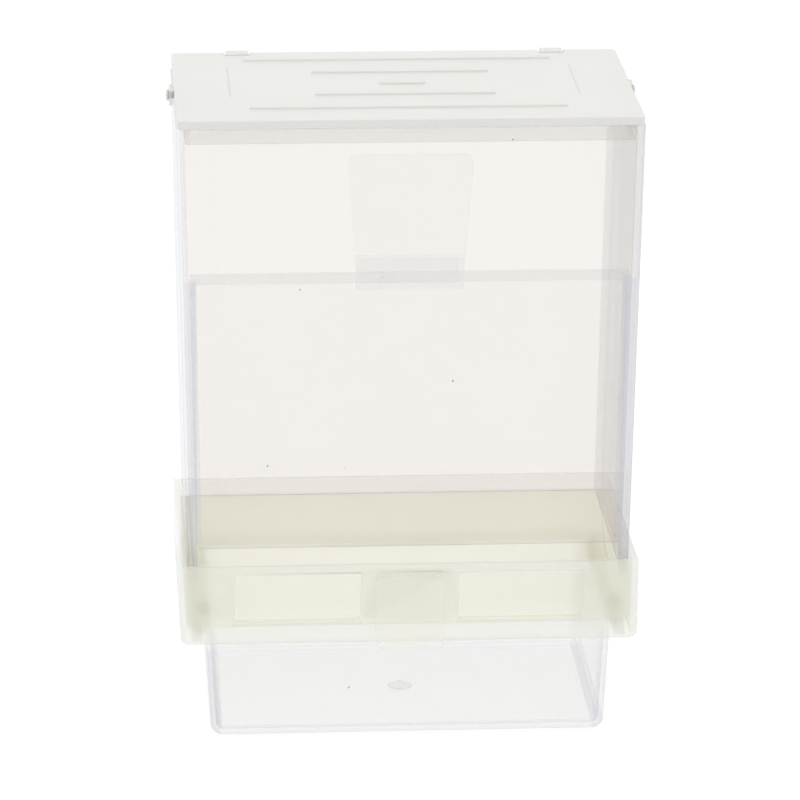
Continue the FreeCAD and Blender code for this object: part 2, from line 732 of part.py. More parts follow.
for obj in doc.Objects:
    if "Invalid" in obj.State or "Error" in obj.State:
        raise RuntimeError(f"{obj.Name} did not compute: {obj.State}")
for label, obj in subparts.items():
    shape = obj.Shape
    if shape.isNull() or not shape.isValid() or len(shape.Solids) != 1:
        raise RuntimeError(f"{label}: bad shape with {len(shape.Solids)} solids")

os.makedirs("parts", exist_ok=True)
for label, obj in sorted(subparts.items()):
    obj.Shape.exportStep(os.path.join("parts", f"{label}.step"))
    bounds = obj.Shape.BoundBox
    print(f"{label:22s} {bounds.XLength:7.2f} x {bounds.YLength:6.2f} x {bounds.ZLength:6.2f}"
          f"  volume {obj.Shape.Volume:9.1f}")
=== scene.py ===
"""Looks for a clear hopper feeder: a hinged frosted lid, a tapering clear hopper with
a sliding feed gate, a frosted feeding tray with a tinted trough, and a catch drawer.

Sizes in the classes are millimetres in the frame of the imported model; meshes and
everything handed to Blender are metres.
"""
import logging
import math
from collections.abc import Callable
from dataclasses import dataclass
from enum import Enum
from functools import cache
from typing import NamedTuple

import bmesh
import bpy
import numpy as np
from mathutils import Matrix, Vector


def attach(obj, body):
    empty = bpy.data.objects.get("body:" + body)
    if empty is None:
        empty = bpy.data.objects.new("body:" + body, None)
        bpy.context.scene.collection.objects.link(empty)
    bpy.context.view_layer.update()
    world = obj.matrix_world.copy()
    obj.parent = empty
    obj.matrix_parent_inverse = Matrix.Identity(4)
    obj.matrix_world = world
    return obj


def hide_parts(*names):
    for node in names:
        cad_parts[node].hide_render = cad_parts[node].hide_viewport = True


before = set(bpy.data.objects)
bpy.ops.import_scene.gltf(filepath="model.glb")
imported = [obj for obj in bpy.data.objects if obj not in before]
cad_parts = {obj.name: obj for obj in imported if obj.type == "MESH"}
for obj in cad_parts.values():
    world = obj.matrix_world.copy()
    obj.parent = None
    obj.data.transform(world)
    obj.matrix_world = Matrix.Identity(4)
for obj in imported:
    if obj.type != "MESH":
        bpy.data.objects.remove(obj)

MM = 0.001
LOG = logging.getLogger("hopper_feeder")
Colour = tuple[float, float, float]
Feed = bpy.types.NodeSocket | float | tuple[float, ...]
WHITE = (1.0, 1.0, 1.0, 1.0)


# ---------------------------------------------------------------- named options
class Plane(Enum):
    """The plane an outline is drawn in: positions of its across, up and height axes."""

    FLOOR = (0, 1, 2)
    FRONT = (0, 2, 1)
    SIDE = (1, 2, 0)


class Clarity(Enum):
    """How a moulded plastic lets light through."""

    SHEET = "each face is a thin film that doesn't bend the view"
    FROSTED = "light passes, dulled"
    OPAQUE = "no light passes"


class Side(Enum):
    """Left and right seen from the feeding side."""

    LEFT = -1
    RIGHT = 1

    @property
    def word(self) -> str:
        """The ending of this side's node names."""
        return self.name.lower()


# ---------------------------------------------------------------- surfaces
def rounded_outline(corners: np.ndarray, radii: np.ndarray, inset: float = 0.0,
                    steps: int = 6) -> np.ndarray:
    """A polygon with its corners rounded, moved inwards by an inset.

    Both sides at a corner are moved in by the inset along their inward normals n0 and
    n1. The arc's centre is corner + radius * (n0 + n1) / (1 + n0.n1), and the arc turns
    from -n0 by the angle between the sides. A hollow corner has its centre outside,
    and its radius grows with the inset where an outward corner's radius shrinks.

    Args:
        corners: corner points, anticlockwise, N x 2.
        radii: rounding radius of each corner.
        inset: distance moved inwards.
        steps: pieces in each arc.

    Returns:
        The outline's points, N * (steps + 1) x 2.
    """
    after = np.roll(corners, -1, axis=0) - corners
    after = after / np.linalg.norm(after, axis=1, keepdims=True)
    before = np.roll(after, 1, axis=0)
    n0 = np.stack([-before[:, 1], before[:, 0]], axis=1)
    n1 = np.stack([-after[:, 1], after[:, 0]], axis=1)
    turn = np.arctan2(before[:, 0] * after[:, 1] - before[:, 1] * after[:, 0],
                      np.sum(before * after, axis=1))
    outward = turn > 0
    away = (n0 + n1) / (1 + np.sum(n0 * n1, axis=1, keepdims=True))
    reach = np.where(outward, np.maximum(radii, inset + 0.01), -radii)
    radius = np.where(outward, np.maximum(radii - inset, 0.01), radii + inset)
    centre = corners + away * reach[:, None]
    angle = turn[:, None] * np.linspace(0.0, 1.0, steps + 1)[None, :]
    start = -n0 * np.where(outward, 1.0, -1.0)[:, None]
    ray = np.stack([start[:, :1] * np.cos(angle) - start[:, 1:] * np.sin(angle),
                    start[:, :1] * np.sin(angle) + start[:, 1:] * np.cos(angle)], axis=2)
    return (centre[:, None, :] + ray * radius[:, None, None]).reshape(-1, 2)


def rectangle(x: tuple[float, float], y: tuple[float, float]) -> np.ndarray:
    """The four corners of a rectangle, anticlockwise from low x and low y."""
    return np.array([(x[0], y[0]), (x[1], y[0]), (x[1], y[1]), (x[0], y[1])])


def rounding(radius: float, steps: int = 4) -> tuple[np.ndarray, np.ndarray]:
    """A quarter circle as insets and rises: radius * (1 - sin t), radius * (1 - cos t)."""
    t = np.linspace(0.0, math.pi / 2, steps + 1)
    return radius * (1 - np.sin(t)), radius * (1 - np.cos(t))


def ring(outline: np.ndarray, height: float | np.ndarray, plane: Plane = Plane.FLOOR) -> np.ndarray:
    """An outline as points in space at one height, or at a height for each point."""
    points = np.empty((len(outline), 3))
    across, up, high = plane.value
    points[:, across], points[:, up], points[:, high] = outline[:, 0], outline[:, 1], height
    return points


@dataclass
class Body:
    """A closed surface: vertices in millimetres and faces as corner lists."""

    points: np.ndarray
    faces: list[tuple[int, ...]]

    @staticmethod
    def lofted(rings: list[np.ndarray], closed: bool = False) -> "Body":
        """A skin over rings that all have the same number of points.

        Corner (i, j) joins (i, j + 1), (i + 1, j + 1) and (i + 1, j), with j round
        the ring. An open stack of rings is closed by one flat face at each end.

        Args:
            rings: the rings in order.
            closed: whether the last ring joins the first one, as in a tube wall.

        Returns:
            The body, with its faces turned outwards.
        """
        grid = np.stack(rings)
        count, around = grid.shape[:2]
        index = np.arange(count * around).reshape(count, around)
        here = index if closed else index[:-1]
        above = np.roll(index, -1, axis=0) if closed else index[1:]
        quads = np.stack([here, np.roll(here, -1, axis=1), np.roll(above, -1, axis=1), above],
                         axis=2).reshape(-1, 4)
        faces = [tuple(quad) for quad in quads.tolist()]
        if not closed:
            faces += [tuple(index[0][::-1].tolist()), tuple(index[-1].tolist())]
        body = Body(grid.reshape(-1, 3), faces)
        return body.turned() if body.volume(quads) < 0 else body

    def volume(self, quads: np.ndarray) -> float:
        """Six times the signed volume under the quads: the sum of a . (b x c)."""
        middle = self.points.mean(axis=0)
        a, b, c, d = (self.points[quads[:, k]] - middle for k in range(4))
        return float(np.sum(np.cross(a, b) * c) + np.sum(np.cross(a, c) * d))

    def turned(self) -> "Body":
        """The same body with each face's corners in the opposite order."""
        return Body(self.points, [face[::-1] for face in self.faces])


def slab(corners: np.ndarray, radii: float | np.ndarray, low: float, high: float,
         plane: Plane = Plane.FLOOR, edge: float = 0.3, lean: float = 0.0,
         steps: int = 6) -> Body:
    """A flat moulded piece: an outline carried up through rounded edges.

    The inset follows a quarter circle at both edges, plus lean * (1 - rise), so that
    the low end is smaller where the piece has draft.

    Args:
        corners: the outline's corners, anticlockwise.
        radii: corner radius, or one for each corner.
        low: where the piece starts along its height axis.
        high: where it ends.
        plane: the plane the outline is drawn in.
        edge: radius of the rounded edges.
        lean: how much smaller the low end is on each side.
        steps: pieces in each corner arc.

    Returns:
        The closed body.
    """
    radii = np.broadcast_to(np.asarray(radii, float), len(corners))
    inset, rise = rounding(edge)
    insets = np.concatenate([inset, inset[::-1]])
    heights = np.concatenate([low + rise, high - rise[::-1]])
    slope = lean * (high - heights) / (high - low)
    return Body.lofted([ring(rounded_outline(corners, radii, i + s, steps), h, plane)
                        for i, s, h in zip(insets, slope, heights)])


def raised_rib(corners: np.ndarray, radii: float, base: float, height: float,
               cove: float = 0.35, edge: float = 0.3, sunk: float = 0.3) -> Body:
    """A rib that grows out of a plate through a hollow fillet.

    The inset runs from -cove at the plate, along a quarter circle, to 0 on the rib's
    side, and along a second quarter circle over its top edge.

    Args:
        corners: the rib's outline at its side.
        radii: corner radius.
        base: height of the plate's surface.
        height: the rib's height above it.
        cove: radius of the hollow fillet.
        edge: radius of the top edge.
        sunk: how far the body runs down into the plate.

    Returns:
        The closed body.
    """
    t = np.linspace(0.0, math.pi / 2, 5)
    inset, rise = rounding(edge)
    insets = np.concatenate([[-cove], -cove * (1 - np.sin(t)), inset[::-1]])
    heights = np.concatenate([[base - sunk], base + cove * (1 - np.cos(t)),
                              base + height - rise[::-1]])
    span = np.broadcast_to(np.asarray(radii, float), len(corners))
    return Body.lofted([ring(rounded_outline(corners, span, i, 8), h)
                        for i, h in zip(insets, heights)])


def turned_rod(radii: np.ndarray, along: np.ndarray, centre: tuple[float, float],
               axis: int, around: int = 40) -> Body:
    """A turned piece: circles of the given radii at the given stations on an axis."""
    t = np.arange(around) * (2 * math.pi / around)
    others = [k for k in range(3) if k != axis]
    rings = []
    for radius, station in zip(radii, along):
        points = np.empty((around, 3))
        points[:, axis] = station
        points[:, others[0]] = centre[0] + radius * np.cos(t)
        points[:, others[1]] = centre[1] + radius * np.sin(t)
        rings.append(points)
    return Body.lofted(rings)


# ---------------------------------------------------------------- objects
def placed(name: str, data: bpy.types.ID) -> bpy.types.Object:
    """An object with the given mesh, lamp or camera, in the scene and at the origin."""
    piece = bpy.data.objects.new(name, data)
    bpy.context.scene.collection.objects.link(piece)
    return piece


def column(items: bpy.types.bpy_prop_collection, title: str, width: int = 1,
           kind: type = float) -> np.ndarray:
    """One attribute of all of a mesh's corners, edges or faces, with a row for each.

    Args:
        items: the mesh's corners, edges, face corners or faces.
        title: the attribute.
        width: how many numbers it has.
        kind: the numbers' type.

    Returns:
        The numbers, N x width, or N where the width is 1.
    """
    values = np.empty(len(items) * width, kind)
    items.foreach_get(title, values)
    return values.reshape(-1, width) if width > 1 else values


def new_object(name: str, bodies: list[Body]) -> bpy.types.Object:
    """One object from closed bodies, in metres, at the origin, smooth up to 35 degrees."""
    offsets = np.cumsum([0] + [len(body.points) for body in bodies[:-1]])
    points = np.concatenate([body.points for body in bodies]) * MM
    faces = [tuple(corner + int(offset) for corner in face)
             for body, offset in zip(bodies, offsets) for face in body.faces]
    mesh = bpy.data.meshes.new(name)
    mesh.from_pydata(points, [], faces)
    mesh.update()
    return smoothed(placed(name, mesh))


def wide_faces(mesh: bpy.types.Mesh, width: float = 3.0) -> np.ndarray:
    """The faces of flat walls: over a width, which is the area over half the perimeter.

    Args:
        mesh: the mesh, in metres.
        width: the least width of a flat wall's face in millimetres.

    Returns:
        A mask of the faces, which also takes in each face with over four corners.
    """
    points = column(mesh.vertices, "co", 3)
    ends = column(mesh.edges, "vertices", 2, np.int32)
    edge_of = column(mesh.loops, "edge_index", kind=np.int32)
    first = column(mesh.polygons, "loop_start", kind=np.int32)
    corners = column(mesh.polygons, "loop_total", kind=np.int32)
    area = column(mesh.polygons, "area")
    length = np.linalg.norm(points[ends[:, 0]] - points[ends[:, 1]], axis=1)
    around = np.add.reduceat(length[edge_of], first)
    return (corners > 4) | (2 * area / around > width * MM)


def smoothed(piece: bpy.types.Object, angle: float = 35.0) -> bpy.types.Object:
    """Smooth shading with sharp edges kept, except on wide faces, which are flat.

    Args:
        piece: the object.
        angle: the sharpest turn in degrees that is still shaded smooth.

    Returns:
        The object.
    """
    mesh = piece.data
    mesh.set_sharp_from_angle(angle=math.radians(angle))
    mesh.polygons.foreach_set("use_smooth", ~wide_faces(mesh))
    return piece


def inwards(mesh: bpy.types.Mesh, distance: float) -> None:
    """Move a mesh's corners inwards along their normals, by a distance in millimetres."""
    points = column(mesh.vertices, "co", 3, np.float32)
    normals = column(mesh.vertex_normals, "vector", 3, np.float32)
    moved = points - normals * np.float32(distance * MM)
    mesh.vertices.foreach_set("co", moved.ravel())
    mesh.update()


def moulded_copy(name: str, node: str, edge: float, shrink: float = 0.0,
                 segments: int = 3) -> bpy.types.Object:
    """A new piece from a node's shape, with every sharp edge rounded as a mould leaves it.

    The node's loose triangles are joined at their corners, flat regions become single
    faces, and a bevel of the given radius runs along each edge sharper than 30 degrees.

    Args:
        name: the new object's name.
        node: the node whose shape is taken.
        edge: radius of the rounded edges in millimetres.
        shrink: how far each face moves inwards, so that faces that touch a neighbour's
            don't lie in one plane with them.
        segments: faces across each rounded edge.

    Returns:
        The new object.
    """
    work = bmesh.new()
    work.from_mesh(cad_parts[node].data)
    bmesh.ops.remove_doubles(work, verts=work.verts, dist=3e-6)
    bmesh.ops.dissolve_limit(work, angle_limit=math.radians(0.6), verts=work.verts,
                             edges=work.edges)
    mesh = bpy.data.meshes.new(name)
    work.to_mesh(mesh)
    work.free()
    piece = placed(name, mesh)
    if shrink > 0:
        inwards(mesh, shrink)
    bevel = piece.modifiers.new("moulded edges", "BEVEL")
    bevel.width = edge * MM
    bevel.segments = segments
    bevel.limit_method = "ANGLE"
    bevel.angle_limit = math.radians(30)
    bevel.miter_outer = "MITER_ARC"
    return smoothed(piece)


# ---------------------------------------------------------------- shader wiring
class Wiring:
    """Adds nodes to a shader tree, each with its settings and its inputs in one call."""

    def __init__(self, tree: bpy.types.NodeTree) -> None:
        """Work on the given tree."""
        self.tree = tree

    def feed(self, socket: bpy.types.NodeSocket, source: Feed) -> None:
        """Wire a socket from another one, or set it to a plain value."""
        if isinstance(source, bpy.types.NodeSocket):
            self.tree.links.new(source, socket)
        else:
            socket.default_value = source

    def add(self, kind: str, inputs: dict[str | int, Feed],
            **settings: str | bool | bpy.types.NodeTree) -> bpy.types.Node:
        """Add one node.

        Args:
            kind: its type, without the word ShaderNode.
            inputs: what feeds each input.
            settings: the node's own settings, which are made first.

        Returns:
            The node.
        """
        node = self.tree.nodes.new(f"ShaderNode{kind}")
        for setting, value in settings.items():
            setattr(node, setting, value)
        for title, source in inputs.items():
            self.feed(node.inputs[title], source)
        return node

    def math(self, operation: str, *values: Feed, clamp: bool = False) -> bpy.types.NodeSocket:
        """The result of one operation on up to three numbers."""
        node = self.add("Math", dict(enumerate(values)), operation=operation, use_clamp=clamp)
        return node.outputs[0]

    def mix(self, factor: Feed, first: Feed, last: Feed,
            kind: str = "RGBA") -> bpy.types.NodeSocket:
        """A blend of colours or numbers, from the first at factor 0 to the last at 1."""
        node = self.add("Mix", {"Factor": factor, "A": first, "B": last}, data_type=kind)
        return node.outputs["Result"]

    def ramp(self, value: Feed, low: float, high: float) -> bpy.types.NodeSocket:
        """A number from 0 to 1, stretched to run from low to high."""
        node = self.add("MapRange", {"Value": value, "To Min": low, "To Max": high})
        return node.outputs["Result"]


class Group(Wiring):
    """A shader group that takes a Vector and some numbers, and puts out one number."""

    def __init__(self, name: str, result: str, **numbers: float) -> None:
        """Open the group.

        Args:
            name: the group's name.
            result: the name of its output.
            numbers: its inputs after the Vector, with their defaults.
        """
        super().__init__(bpy.data.node_groups.new(name, "ShaderNodeTree"))
        sockets = self.tree.interface
        sockets.new_socket("Vector", in_out="INPUT", socket_type="NodeSocketVector")
        for title, value in numbers.items():
            number = sockets.new_socket(title, in_out="INPUT", socket_type="NodeSocketFloat")
            number.default_value = value
        sockets.new_socket(result, in_out="OUTPUT", socket_type="NodeSocketFloat")
        self.entry = self.tree.nodes.new("NodeGroupInput")
        self.exit = self.tree.nodes.new("NodeGroupOutput")

    def given(self, title: str) -> bpy.types.NodeSocket:
        """One of the group's inputs."""
        return self.entry.outputs[title]

    def noise(self, detail: float, scale: Feed, vector: Feed | None = None) -> bpy.types.NodeSocket:
        """A noise pattern on the group's Vector, or on another one."""
        node = self.add("TexNoise", {"Vector": vector or self.given("Vector"), "Scale": scale,
                                     "Detail": detail})
        return node.outputs["Fac"]

    def closed(self, result: bpy.types.NodeSocket) -> bpy.types.NodeTree:
        """The finished group, which puts out the result."""
        self.feed(self.exit.inputs[0], result)
        return self.tree


@cache
def flow_haze() -> bpy.types.NodeTree:
    """Cloudy streaks from the flow of plastic: a wide noise stretched upwards, and a fine one."""
    group = Group("flow haze", "Mask", Scale=30.0, Contrast=0.5)
    stretched = group.add("Mapping", {"Vector": group.given("Vector"), "Scale": (1.0, 1.0, 0.45)})
    wide = group.noise(1.0, group.given("Scale"), stretched.outputs["Vector"])
    fine = group.noise(2.0, group.math("MULTIPLY", group.given("Scale"), 9.0))
    centred = group.math("SUBTRACT", group.mix(0.3, wide, fine, "FLOAT"), 0.5)
    return group.closed(group.math("MULTIPLY_ADD", centred, group.given("Contrast"), 0.5,
                                   clamp=True))


@cache
def etched_grain() -> bpy.types.NodeTree:
    """The fine etched grain of a mould wall with slow ripples in it, as a height from 0 to 1."""
    group = Group("etched grain", "Height", Scale=900.0, Ripple=0.5)
    pits = group.noise(0.0, group.given("Scale"))
    waves = group.noise(1.0, 55.0)
    return group.closed(group.mix(group.given("Ripple"), pits, waves, "FLOAT"))


@cache
def dust_specks() -> bpy.types.NodeTree:
    """Sparse specks of dust in the plastic: small balls round a few scattered points."""
    group = Group("dust specks", "Mask", Spacing=60.0, Size=0.012)
    cells = group.add("TexVoronoi", {"Vector": group.given("Vector"),
                                     "Scale": group.given("Spacing")})
    return group.closed(group.math("LESS_THAN", cells.outputs["Distance"], group.given("Size")))


# ---------------------------------------------------------------- finishes
@dataclass(frozen=True)
class Skin:
    """The relief that a mould wall leaves on a piece."""

    depth: float                    # millimetres
    ripple: float = 0.5             # share of slow ripples in the grain
    grain_scale: float = 900.0


@dataclass(frozen=True)
class Plastic:
    """One moulded plastic finish."""

    name: str
    colour: Colour                  # where the plastic is thin or even
    fade: Colour | float            # how much darker it is where the flow haze is densest
    rough: tuple[float, float]      # smoothest and dullest patches
    skin: Skin
    film: tuple[float, float] = (1.0, 1.0)    # how much one face covers, square on and edge on
    edge_colour: Colour = (1.0, 1.0, 1.0)     # seen along the face
    clarity: Clarity = Clarity.SHEET
    passes: float = 0.0             # share of light that passes through a frosted piece
    specks: float = 0.0             # size of the dust specks; none at 0
    speck_colour: Colour = (0.12, 0.10, 0.07)
    ior: float = 1.49
    haze_scale: float = 30.0
    haze_contrast: float = 1.6

    def material(self) -> bpy.types.Material:
        """The node-based material, built at its first use."""
        found = bpy.data.materials.get(self.name)
        if found:
            return found
        material = bpy.data.materials.new(self.name)
        material.use_nodes = True
        net = Wiring(material.node_tree)
        shader = material.node_tree.nodes["Principled BSDF"].inputs
        place = net.add("TexCoord", {}).outputs["Object"]
        haze = net.add("Group", {"Vector": place, "Scale": self.haze_scale,
                                 "Contrast": self.haze_contrast}, node_tree=flow_haze())
        grain = net.add("Group", {"Vector": place, "Scale": self.skin.grain_scale,
                                  "Ripple": self.skin.ripple}, node_tree=etched_grain())
        bump = net.add("Bump", {"Strength": 1.0, "Distance": self.skin.depth * MM,
                                "Height": grain.outputs["Height"]})
        mask = haze.outputs["Mask"]
        hazy = np.subtract(self.colour, self.fade)
        colour = net.mix(mask, (*self.colour, 1.0), (*hazy, 1.0))
        net.feed(shader["Roughness"], net.ramp(mask, *self.rough))
        net.feed(shader["Normal"], bump.outputs["Normal"])
        net.feed(shader["IOR"], self.ior)
        if self.clarity is Clarity.FROSTED:
            net.feed(shader["Transmission Weight"], self.passes)
        if self.clarity is Clarity.SHEET:
            colour, cover = self._film(net, colour)
            if self.specks > 0:
                colour, cover = self._dust(net, place, colour, cover)
            net.feed(shader["Alpha"], cover)
        net.feed(shader["Base Color"], colour)
        return material

    def _film(self, net: Wiring, colour: bpy.types.NodeSocket) -> tuple[
            bpy.types.NodeSocket, bpy.types.NodeSocket]:
        """Let a clear wall cover more, in its edge colour, where it is seen along its face.

        Args:
            net: the material's wiring.
            colour: the colour seen square on.

        Returns:
            The colour, and how much it covers.
        """
        facing = net.add("LayerWeight", {"Blend": 0.5}).outputs["Facing"]
        steep = net.math("POWER", facing, 3.0)
        return net.mix(steep, colour, (*self.edge_colour, 1.0)), net.ramp(steep, *self.film)

    def _dust(self, net: Wiring, place: bpy.types.NodeSocket, colour: bpy.types.NodeSocket,
              cover: bpy.types.NodeSocket) -> tuple[bpy.types.NodeSocket, bpy.types.NodeSocket]:
        """Set a few dark specks in a clear wall.

        Args:
            net: the material's wiring.
            place: object coordinates.
            colour: the wall's colour.
            cover: how much the wall covers.

        Returns:
            The colour and the cover with the specks in them.
        """
        dust = net.add("Group", {"Vector": place, "Size": self.specks}, node_tree=dust_specks())
        mask = dust.outputs["Mask"]
        return net.mix(mask, colour, (*self.speck_colour, 1.0)), net.math("MAXIMUM", cover, mask)


GLOSSY = Skin(0.003, 0.95)
BUFFED = Skin(0.004, 0.9)
FINE_SATIN = Skin(0.01)
SATIN = Skin(0.015)
MATT = Skin(0.02)
DUST = 0.016

HOPPER_WALL = Plastic("clear hopper wall", (0.70, 0.59, 0.49), (0.06, 0.05, 0.04), (0.05, 0.12),
                      GLOSSY, (0.085, 0.75), (0.44, 0.46, 0.56), specks=DUST)
# Painted reflection: bluish grey on the thick front corners, for the light that they bend and
# reflect back.
HOPPER_CORNER_PAINTED_REFLECTION = Plastic("hopper corner with painted reflection", (0.54, 0.55, 0.66), 0.04, (0.06, 0.12), GLOSSY,
                        (0.22, 0.75), (0.44, 0.46, 0.60))
# Painted reflection: bluish grey on the rounded edges, for the light that they bend and reflect
# back.
HOPPER_EDGE_PAINTED_REFLECTION = Plastic("rounded hopper edge", (0.46, 0.48, 0.58), 0.04, (0.05, 0.12), GLOSSY,
                      (0.16, 0.75), (0.44, 0.46, 0.58))
CLEAR_RAIL = Plastic("clear rail plastic", (0.66, 0.67, 0.74), 0.04, (0.05, 0.12), GLOSSY,
                     (0.04, 0.08), (0.66, 0.68, 0.76))
CLEAR_GATE = Plastic("clear gate plastic", (0.66, 0.60, 0.54), (0.06, 0.05, 0.04), (0.04, 0.1),
                     GLOSSY, (0.035, 0.2), (0.66, 0.64, 0.62))
# Painted reflection: bluish grey on the thick border, for the light that its sides bend and
# reflect.
GATE_BORDER_PAINTED_REFLECTION = Plastic("gate border with painted reflection", (0.62, 0.67, 0.74), 0.04, (0.06, 0.12), GLOSSY,
                      (0.10, 0.14), (0.64, 0.66, 0.74))
CLOUDY_GRIP = Plastic("cloudy grip plastic", (0.72, 0.75, 0.84), 0.03, (0.25, 0.35), Skin(0.006),
                      (0.035, 0.09), (0.66, 0.68, 0.80))
DRAWER_WALL = Plastic("milky drawer wall", (0.68, 0.68, 0.67), 0.06, (0.08, 0.16), BUFFED,
                      (0.03, 0.34), (0.54, 0.56, 0.64), specks=DUST)
# Painted reflection: bluish grey on the drawer's rounded edges, for the light that they bend and
# reflect back.
DRAWER_EDGE_PAINTED_REFLECTION = Plastic("rounded drawer edge", (0.50, 0.52, 0.60), 0.04, (0.08, 0.16), BUFFED,
                      (0.10, 0.6), (0.50, 0.52, 0.60))
MOULD_MARK = Plastic("drawer mould mark", (0.62, 0.62, 0.64), 0.04, (0.3, 0.4), MATT, (0.26, 0.4),
                     (0.6, 0.6, 0.64))
FROSTED_LID = Plastic("frosted lid plastic", (0.935, 0.93, 0.90), 0.02, (0.34, 0.5), MATT,
                      clarity=Clarity.FROSTED, passes=0.2)
# Painted shade: a darker copy of the lid plastic, for the upright edges that get less light than
# the top and for strips over the ribs underneath.
LID_EDGE_PAINTED_SHADE = Plastic("lid edge with painted shade", (0.80, 0.795, 0.765), 0.02, (0.34, 0.5), MATT,
                   clarity=Clarity.FROSTED, passes=0.1)
LID_SKIRT = Plastic("thin lid skirt", (0.70, 0.69, 0.65), 0.04, (0.3, 0.4), SATIN, (0.17, 0.4),
                    (0.66, 0.66, 0.64))
LUG_PLASTIC = Plastic("frosted lug plastic", (0.84, 0.835, 0.80), 0.03, (0.3, 0.4), FINE_SATIN,
                      (0.42, 0.55), (0.76, 0.76, 0.75))
FROSTED_TRAY = Plastic("frosted tray plastic", (0.85, 0.85, 0.77), 0.03, (0.3, 0.45), SATIN,
                       (0.30, 0.42), (0.82, 0.83, 0.84))
TRAY_BACK = Plastic("thin tray back", (0.90, 0.90, 0.84), 0.03, (0.3, 0.45), SATIN, (0.16, 0.3),
                    (0.84, 0.85, 0.86))
TINTED_TROUGH = Plastic("tinted trough plastic", (0.92, 0.91, 0.72), 0.03, (0.35, 0.5), MATT,
                        (0.33, 0.38), (0.92, 0.91, 0.76))
TROUGH_FRONT = Plastic("thin trough front", (0.92, 0.91, 0.74), 0.03, (0.35, 0.5), MATT,
                       (0.12, 0.3), (0.92, 0.91, 0.78))
TONGUE_PLASTIC = Plastic("tinted tongue plastic", (0.94, 0.93, 0.82), 0.03, (0.3, 0.45), SATIN,
                         (0.14, 0.26), (0.80, 0.81, 0.82))
# Painted shade: the pegs take a darker copy of the trough's olive, so that they show through the
# housing as shaded blobs.
PEG_PAINTED_SHADE = Plastic("peg plastic with painted shade", (0.52, 0.54, 0.40), 0.04, (0.35, 0.5), SATIN, (0.22, 0.4),
                      (0.56, 0.58, 0.46))
PIN_PLASTIC = Plastic("hinge pin plastic", (0.66, 0.67, 0.68), 0.06, (0.25, 0.35), Skin(0.005),
                      clarity=Clarity.OPAQUE)
# Painted shade: the studs take a darker copy of the lid's grey, for the shading on the knobs.
STUD_PAINTED_SHADE = Plastic("stud plastic with painted shade", (0.64, 0.64, 0.60), 0.06, (0.35, 0.5), FINE_SATIN,
                       clarity=Clarity.OPAQUE)


def dress(piece: bpy.types.Object, finish: Plastic) -> None:
    """Give a piece one finish in its only material slot."""
    piece.data.materials.clear()
    piece.data.materials.append(finish.material())


def stand_in_for(piece: bpy.types.Object, node: str, body: str,
                 finish: Plastic) -> bpy.types.Object:
    """Make a piece stand for a node: its body and its finish.

    Args:
        piece: the new piece.
        node: the node it replaces.
        body: the body it moves with.
        finish: its finish.

    Returns:
        The piece.
    """
    dress(piece, finish)
    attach(piece, body)
    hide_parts(node)
    LOG.info("%s: %d faces, rides on %s", piece.name, len(piece.data.polygons), body)
    return piece


class Faces(NamedTuple):
    """The centres of a piece's faces in millimetres and their normals, N x 3 each."""

    centres: np.ndarray
    normals: np.ndarray


def patch(piece: bpy.types.Object, finish: Plastic,
          where: Callable[[Faces], np.ndarray]) -> None:
    """Give some faces of a dressed piece a further finish.

    Args:
        piece: the piece.
        finish: the finish of the chosen faces.
        where: from all the piece's faces to a mask of the chosen ones.
    """
    mesh = piece.data
    slots = column(mesh.polygons, "material_index", kind=np.int32)
    chosen = where(Faces(column(mesh.polygons, "center", 3) / MM,
                         column(mesh.polygons, "normal", 3)))
    slots[chosen] = len(mesh.materials)
    mesh.materials.append(finish.material())
    mesh.polygons.foreach_set("material_index", slots)
    LOG.info("%s: %d faces in %s", piece.name, int(chosen.sum()), finish.name)


def rounded_faces(faces: Faces) -> np.ndarray:
    """The faces of rounded edges: no part of their normal is close to a whole one."""
    return np.abs(faces.normals).max(axis=1) < 0.985


